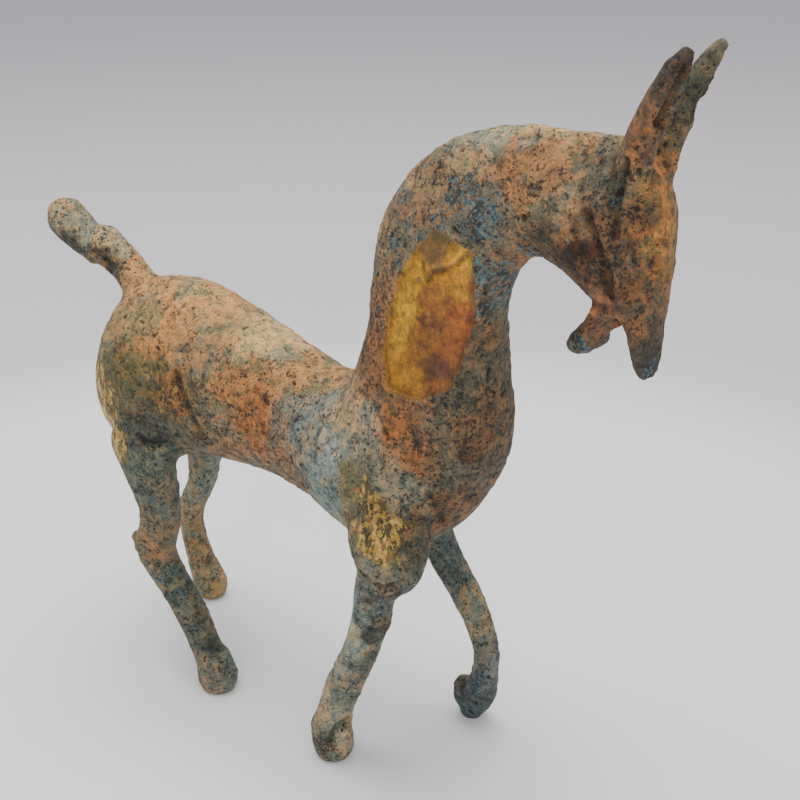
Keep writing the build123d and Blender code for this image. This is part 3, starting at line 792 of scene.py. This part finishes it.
def sharpened(points, cut, corner):
    """The surface with its rims moved out to where the form and the cut meet."""
    rim = rim_corners(points, cut, corner)
    first = points[rim].astype(np.float64)
    moved = first.copy()
    fields = ((form, 0), (cut, corner))
    for _ in range(4):
        slopes = np.stack([slope_of(field, moved, VOXEL / 2, start) for field, start in fields], axis=1)
        gaps = np.stack([at_points(field, moved, start) for field, start in fields], axis=1)
        turned = slopes.transpose(0, 2, 1)
        square = slopes @ turned + 0.02 * np.eye(2)
        moved -= (turned @ np.linalg.solve(square, gaps[..., None]))[..., 0]
    close = np.linalg.norm(moved - first, axis=1) < 1.1 * VOXEL
    points = points.copy()
    points[np.flatnonzero(rim)[close]] = moved[close]
    return points, rim


def piece_surface(name):
    """The corners and quads of one casting, cut from the form along its seams."""
    window = window_of(name)
    others = np.where(owner[window] == CASTINGS.index(name), second[window], nearest[window])
    cut = (own[name] - others) / 2 + SEAM_GAP
    np.maximum(cut, -pins[window], out=cut)
    if name in hollow:
        np.maximum(cut, -hollow[name], out=cut)
    field = np.maximum(form[window], cut)
    corner = np.array([side.start for side in window])
    points, quads = surface_of(field, 0.0, corner)
    points, quads = without_crumbs(points, quads.astype(np.int64))
    points, rim = sharpened(points, cut, corner)
    return points, outward(points, quads), rim


def new_mesh(name, points, quads, rim):
    mesh = bpy.data.meshes.new(name)
    mesh.vertices.add(len(points))
    mesh.vertices.foreach_set("co", (points * MM).astype(np.float32).ravel())
    mesh.loops.add(quads.size)
    mesh.loops.foreach_set("vertex_index", quads.astype(np.int32).ravel())
    mesh.polygons.add(len(quads))
    mesh.polygons.foreach_set("loop_start", np.arange(0, quads.size, 4, dtype=np.int32))
    mesh.polygons.foreach_set("use_smooth", np.ones(len(quads), bool))
    mesh.update(calc_edges=True)
    ends = np.empty(len(mesh.edges) * 2, np.int32)
    mesh.edges.foreach_get("vertices", ends)
    sharp = rim[ends.reshape(-1, 2)].all(axis=1)
    mesh.attributes.new("sharp_edge", "BOOLEAN", "EDGE").data.foreach_set("value", sharp)
    return mesh


def outward(points, quads):
    """The quads wound so that their normals point out of the metal."""
    a, b, c = (points[quads[:, i]] for i in range(3))
    volume = np.einsum("ij,ij->i", a, np.cross(b, c)).sum()
    return quads if volume > 0 else quads[:, ::-1]


def add_patina(mesh, points):
    """The patina's colour and growths, and the masks of the painted shade in hollows and the painted
    highlight on ridges, written on the corners of a mesh.
    """
    look = patina(points)
    # the hollow and ridge masks lead the painted shade in hollows and the painted highlight on ridges
    curve = at_points(curving, points)
    look["hollow"] = np.clip(-curve / FULL_HOLLOW, 0.0, 1.0)
    look["ridge"] = np.clip(curve / FULL_RIDGE, 0.0, 1.0)
    wash = np.concatenate([look["wash"], np.ones((len(points), 1))], axis=1).astype(np.float32)
    mesh.attributes.new("wash", "FLOAT_COLOR", "POINT").data.foreach_set("color", wash.ravel())
    for name in ("crust", "blue", "pit", "gilt", "dark", "panel", "hollow", "ridge"):
        layer = mesh.attributes.new(name, "FLOAT", "POINT")
        layer.data.foreach_set("value", np.ascontiguousarray(look[name], dtype=np.float32))


# ---- materials ----
class Look:
    """A material and a short way to wire its nodes."""

    def __init__(self, name):
        self.material = bpy.data.materials.new(name)
        self.material.use_nodes = True
        self.tree = self.material.node_tree
        self.shader = self.tree.nodes["Principled BSDF"]
        place = self.tree.nodes.new("ShaderNodeTexCoord").outputs["Object"]
        self.place = self.add("ShaderNodeVectorMath", {0: place, 3: 1 / MM}, operation="SCALE").outputs[0]

    def add(self, kind, inputs, **settings):
        node = self.tree.nodes.new(kind)
        for key, value in settings.items():
            setattr(node, key, value)
        for key, value in inputs.items():
            self.feed(node.inputs[key], value)
        return node

    def feed(self, socket, value):
        if isinstance(value, bpy.types.NodeSocket):
            self.tree.links.new(value, socket)
        else:
            socket.default_value = value

    def set(self, name, value):
        """One input of the material's surface."""
        self.feed(self.shader.inputs[name], value)

    def noise(self, scale, detail=3.0, rough=0.6, place=None, twist=0.0):
        """Noise of about 0.3 to 0.7, with a number of lumps per millimetre."""
        inputs = {
            "Vector": place or self.place, "Scale": scale, "Detail": detail, "Roughness": rough,
            "Distortion": twist,
        }
        return self.add("ShaderNodeTexNoise", inputs).outputs[0]

    def maths(self, kind, a, b=0.0):
        return self.add("ShaderNodeMath", {0: a, 1: b}, operation=kind).outputs[0]

    def plus(self, a, b):
        return self.maths("ADD", a, b)

    def times(self, a, b):
        return self.maths("MULTIPLY", a, b)

    def squeezed(self, scale):
        """Places multiplied axis by axis."""
        return self.add("ShaderNodeVectorMath", {0: self.place, 1: scale}, operation="MULTIPLY").outputs[0]

    def span(self, value, low, high, start=0.0, end=1.0, kind="SMOOTHSTEP"):
        """A value from start to end, as the given one goes from low to high."""
        inputs = {"Value": value, "From Min": low, "From Max": high, "To Min": start, "To Max": end}
        return self.add("ShaderNodeMapRange", inputs, interpolation_type=kind).outputs[0]

    def ramp(self, value, start, end):
        """A straight ramp over the range of the noise."""
        return self.span(value, 0.3, 0.7, start, end, "LINEAR")

    def mix(self, share, a, b, kind="MIX"):
        node = self.add("ShaderNodeMix", {0: share, 6: a, 7: b}, data_type="RGBA", blend_type=kind)
        return node.outputs[2]

    def tinted(self, colour, tint, share=None):
        """A colour multiplied by a tint, all over or where the share says."""
        product = self.mix(1.0, colour, tint, "MULTIPLY")
        return product if share is None else self.mix(share, colour, product)

    def blend(self, share, a, b):
        return self.add("ShaderNodeMix", {0: share, 2: a, 3: b}, data_type="FLOAT").outputs[0]

    def layer(self, name, output="Fac"):
        """What add_patina wrote on the corners under this name."""
        return self.add("ShaderNodeAttribute", {}, attribute_name=name).outputs[output]

    def bump(self, height, distance, strength=1.0):
        inputs = {"Height": height, "Distance": distance * MM, "Strength": strength}
        return self.add("ShaderNodeBump", inputs).outputs[0]


def tone(red, green, blue):
    return (red, green, blue, 1.0)


def paint(red, green, blue):
    """The shown colour of 0 to 255 a channel, as a shader takes it."""
    return tone(*linear_colour((red, green, blue)))


class Patina(Look):
    """Old bronze: earthy crust over grey-green verdigris, azurite, and rubbed gilding."""

    def __init__(self):
        super().__init__("patina")
        self.crust, self.blue, self.pit = self.layer("crust"), self.layer("blue"), self.layer("pit")
        self.gilt, self.dark, self.panel = self.layer("gilt"), self.layer("dark"), self.layer("panel")
        wash = {"Saturation": SATURATION, "Value": GAIN, "Color": self.layer("wash", "Color")}
        self.wash = self.add("ShaderNodeHueSaturation", wash).outputs[0]
        self.grains = self.noise(1.7)
        self.flecks = self.noise(1.15, 4.0, 0.65, twist=0.6)
        self.clouds = self.noise(0.42, 5.0, 0.62)
        self.streak_place = self.squeezed((1.0, 1.0, 0.45))
        self.lines = self.noise(0.9, 4.0, 0.6, place=self.streak_place)
        self.matte = self.maths("SUBTRACT", 1.0, self.panel)

        colour = self.ground_and_crust()
        colour = self.tarnished(colour)
        colour = self.stained(colour)
        colour = self.with_azurite(colour)
        colour = self.speckled(colour)
        colour = self.with_leaf(colour)
        colour = self.lacquered(colour)
        # the base colour ends with painted shade in the hollows and a painted highlight on the ridges
        self.set("Base Color", self.painted_shade_and_highlight(colour))
        self.finish_surface()

    def ground_and_crust(self):
        """Grey-green ground and orange crust, both led by the local wash."""
        ground = self.tinted(self.wash, tone(0.78, 1.0, 1.10))
        broad = self.span(self.noise(0.14, 3.0, 0.5), 0.42, 0.62, 0.0, 0.6)
        ground = self.tinted(ground, tone(0.84, 0.98, 1.04), broad)
        earth = self.mix(self.span(self.clouds, 0.38, 0.62), tone(1.16, 1.12, 0.98), tone(1.30, 1.07, 0.78))
        earth = self.tinted(self.wash, earth)
        edge = self.plus(self.times(self.crust, 0.55), self.ramp(self.clouds, -0.45, 0.45))
        edge = self.plus(edge, self.ramp(self.grains, -0.40, 0.40))
        self.cover = self.times(self.span(edge, 0.08, 0.36), self.matte)
        colour = self.mix(self.panel, self.mix(self.cover, ground, earth), self.wash)
        colour = self.tinted(colour, self.ramp(self.clouds, 0.60, 1.42))
        return self.tinted(colour, self.ramp(self.grains, 0.72, 1.28))

    def tarnished(self, colour):
        """Brown tarnish in broad patches."""
        patches = self.span(self.noise(0.24, 4.0, 0.65, twist=0.5), 0.50, 0.60)
        share = self.times(self.times(patches, self.dark), self.matte)
        return self.tinted(colour, tone(0.60, 0.53, 0.47), share)

    def stained(self, colour):
        """Brick-red stain in the thick crust."""
        patches = self.span(self.noise(0.30, 5.0, 0.7, twist=0.8), 0.58, 0.63)
        red = self.tinted(self.wash, tone(1.40, 0.90, 0.62))
        return self.mix(self.times(self.times(patches, self.cover), 0.75), colour, red)

    def with_azurite(self, colour):
        """Azurite and teal crystals, broken by islands of the colour below."""
        cells = self.noise(1.0, 3.0, 0.7)
        crystal = self.mix(self.span(cells, 0.40, 0.58), paint(26, 42, 56), paint(86, 124, 128))
        crystal = self.mix(self.span(cells, 0.62, 0.70), crystal, paint(150, 172, 166))
        share = self.plus(self.blue, self.ramp(self.flecks, -0.7, 0.35))
        share = self.plus(share, self.ramp(self.clouds, -0.95, 0.55))
        islands = self.span(self.noise(0.62, twist=0.8), 0.40, 0.47)
        share = self.times(self.span(share, 0.36, 0.58, 0.0, 0.9), islands)
        return self.mix(share, colour, crystal)

    def speckled(self, colour):
        """Dark speckle and fine cracks, a few pale grains, and dirt in the pits."""
        crowding = self.span(self.noise(0.2, 4.0, 0.6, twist=0.5), 0.42, 0.58, 0.05, -0.025)
        limit = self.plus(self.plus(self.flecks, self.times(self.dark, -0.13)), crowding)
        crack = self.maths("ABSOLUTE", self.maths("SUBTRACT", self.noise(0.5, 5.0, 0.7, twist=1.2), 0.5))
        crack = self.plus(crack, self.span(self.noise(0.33, 2.0), 0.40, 0.62, 0.08, -0.005))
        crack = self.plus(crack, self.times(self.dark, -0.012))
        specks = self.maths("MAXIMUM", self.span(limit, 0.375, 0.32), self.span(crack, 0.020, 0.008))
        self.speck = self.times(specks, self.matte)
        colour = self.mix(self.times(self.speck, 0.9), colour, paint(34, 31, 30))
        pale = self.span(self.noise(0.9, 4.0, 0.6, twist=0.5), 0.60, 0.66, 0.0, 0.6)
        grain = self.tinted(self.wash, tone(1.55, 1.55, 1.5))
        colour = self.mix(self.times(pale, self.matte), colour, grain)
        return self.mix(self.times(self.pit, 0.8), colour, paint(40, 34, 30))

    def with_leaf(self, colour):
        """Gold leaf in streaks, on what is left of the smooth ground."""
        leaf = self.noise(0.62, 5.0, 0.62, place=self.streak_place, twist=0.5)
        leaf = self.span(self.plus(leaf, self.times(self.gilt, 0.26)), 0.695, 0.707)
        leaf = self.times(leaf, self.span(self.gilt, 0.30, 0.6))
        self.leaf = self.times(leaf, self.span(self.flecks, 0.36, 0.44))
        gold = self.mix(self.span(self.clouds, 0.35, 0.65), paint(182, 144, 70), paint(230, 196, 116))
        return self.mix(self.leaf, colour, gold)

    def lacquered(self, colour):
        """Brown wear and upright streaks in the panel's lacquered gold."""
        wear = self.span(self.noise(0.27, 5.0, 0.68, twist=0.6), 0.50, 0.60, 0.0, 0.85)
        colour = self.tinted(colour, tone(0.70, 0.54, 0.42), self.times(wear, self.panel))
        streaks = self.span(self.lines, 0.35, 0.65, 0.70, 1.34, "LINEAR")
        return self.tinted(colour, streaks, self.panel)

    def painted_shade_and_highlight(self, colour):
        """Painted shade in the hollows, and a painted highlight on the ridges."""
        # painted shade: the hollows darkened
        colour = self.tinted(colour, tone(0.26, 0.25, 0.25), self.times(self.layer("hollow"), 0.75))
        # painted highlight: the ridges lightened
        return self.tinted(colour, tone(1.5, 1.42, 1.3), self.times(self.layer("ridge"), 0.5))

    def finish_surface(self):
        """Dull crust, bright leaf, a coat on the panel, and a fine grain all over."""
        rough = self.blend(self.leaf, self.ramp(self.grains, 0.62, 0.86), 0.34)
        self.set("Roughness", self.blend(self.panel, rough, self.ramp(self.lines, 0.26, 0.42)))
        self.set("Metallic", self.plus(self.times(self.leaf, 0.85), self.times(self.panel, 0.45)))
        self.set("Coat Weight", self.times(self.panel, 0.35))
        self.set("Coat Roughness", 0.2)
        fine = self.plus(self.noise(1.4, 5.0, 0.7), self.times(self.leaf, 0.15))
        fine = self.maths("SUBTRACT", fine, self.times(self.speck, 0.25))
        calm = self.maths("SUBTRACT", 1.0, self.times(self.panel, 0.7))
        self.set("Normal", self.bump(self.times(fine, calm), 0.95))


def plain_look(name, first, second, scale, metallic, rough, depth):
    """A mottled material for the parts that the castings hide."""
    look = Look(name)
    clouds = look.noise(scale, 5.0, 0.65)
    look.set("Base Color", look.mix(look.span(clouds, 0.35, 0.65), paint(*first), paint(*second)))
    look.set("Roughness", look.ramp(look.noise(scale * 3, 3.0), *rough))
    look.set("Metallic", metallic)
    look.set("Normal", look.bump(look.noise(scale * 4, 4.0), depth, 0.6))
    return look.material


bronze = Patina().material
for name in CASTINGS:
    points, quads, rim = piece_surface(name)
    mesh = new_mesh(name + "_cast", points, quads, rim)
    add_patina(mesh, points)
    mesh.materials.append(bronze)
    piece = add_object(name + "_cast", mesh)
    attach(piece, "root")
    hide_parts(name)

metal = plain_look("old_bronze", (104, 80, 50), (142, 108, 62), 0.8, 0.2, (0.5, 0.8), 0.1)
clay = plain_look("fired_clay", (148, 98, 66), (112, 76, 56), 0.5, 0.0, (0.85, 0.95), 0.3)
for name in PINS + sorted(CORES.values()):
    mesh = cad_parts[name].data
    mesh.materials.clear()
    mesh.materials.append(metal if name in PINS else clay)


# ---- floor and light ----
def disc_mesh(name, rings, count):
    """A flat disc on the floor, as rings of quads round a small middle polygon."""
    turns = [2 * math.pi * k / count for k in range(count)]
    points = [(r * math.cos(t), r * math.sin(t), 0.0) for r in rings for t in turns]
    quads = [
        (i * count + k, (i + 1) * count + k, (i + 1) * count + (k + 1) % count, i * count + (k + 1) % count)
        for i in range(len(rings) - 1) for k in range(count)
    ]
    mesh = bpy.data.meshes.new(name)
    mesh.from_pydata(points, [], [tuple(range(count))] + quads)
    return mesh


def paper_look():
    """Matt paper: pale under the statue; greyer round it, a painted shade that stands for a darker
    backdrop; and pale again far off, painted light that makes up for the lamps' falloff.
    """
    look = Look("paper")
    flat = look.squeezed((1.0, 1.0, 0.0))
    away = look.add("ShaderNodeVectorMath", {0: flat}, operation="LENGTH").outputs[1]
    # painted shade: a grey ring round the statue, from 215 to 350 mm out
    shade = look.mix(look.span(away, 215.0, 350.0), paint(250, 249, 251), paint(216, 212, 215))
    # painted light: farther off the paper pales again, to make up for the lamps' falloff
    shade = look.mix(look.span(away, 350.0, 1200.0, kind="LINEAR"), shade, paint(228, 222, 225))
    shade = look.mix(look.span(away, 1200.0, 5000.0, kind="LINEAR"), shade, paint(252, 250, 252))
    look.set("Base Color", look.tinted(shade, look.ramp(look.noise(0.6, 4.0, 0.6), 0.985, 1.015)))
    look.set("Roughness", 0.85)
    return look.material


FLOOR_RINGS = (0.05, 0.2, 0.5, 1.5, 6.0)
sheet = add_object("backdrop", disc_mesh("backdrop", FLOOR_RINGS, 64))
sheet.data.materials.append(paper_look())


LAMP_TARGET = (0.0, 0.0, 0.1)


def add_area(name, place, power, colour):
    """A round lamp, a metre across, that shines at the statue."""
    data = bpy.data.lights.new(name, "AREA")
    data.shape = "DISK"
    data.size = 1.0
    data.energy = power
    data.color = colour
    lamp = add_object(name, data)
    lamp.location = place
    aim = Vector(LAMP_TARGET) - Vector(place)
    lamp.rotation_euler = aim.to_track_quat("-Z", "Y").to_euler()


add_area("overhead", (-0.15, 0.10, 1.1), 12.3, (1.0, 0.99, 0.97))
add_area("front_fill", (0.7, -0.9, 0.7), 5.5, (1.0, 1.0, 1.0))

world = bpy.data.worlds.new("world")
world.use_nodes = True
sky = world.node_tree.nodes["Background"]
sky.inputs["Color"].default_value = tone(0.85, 0.86, 0.9)
sky.inputs["Strength"].default_value = 0.65
bpy.context.scene.world = world
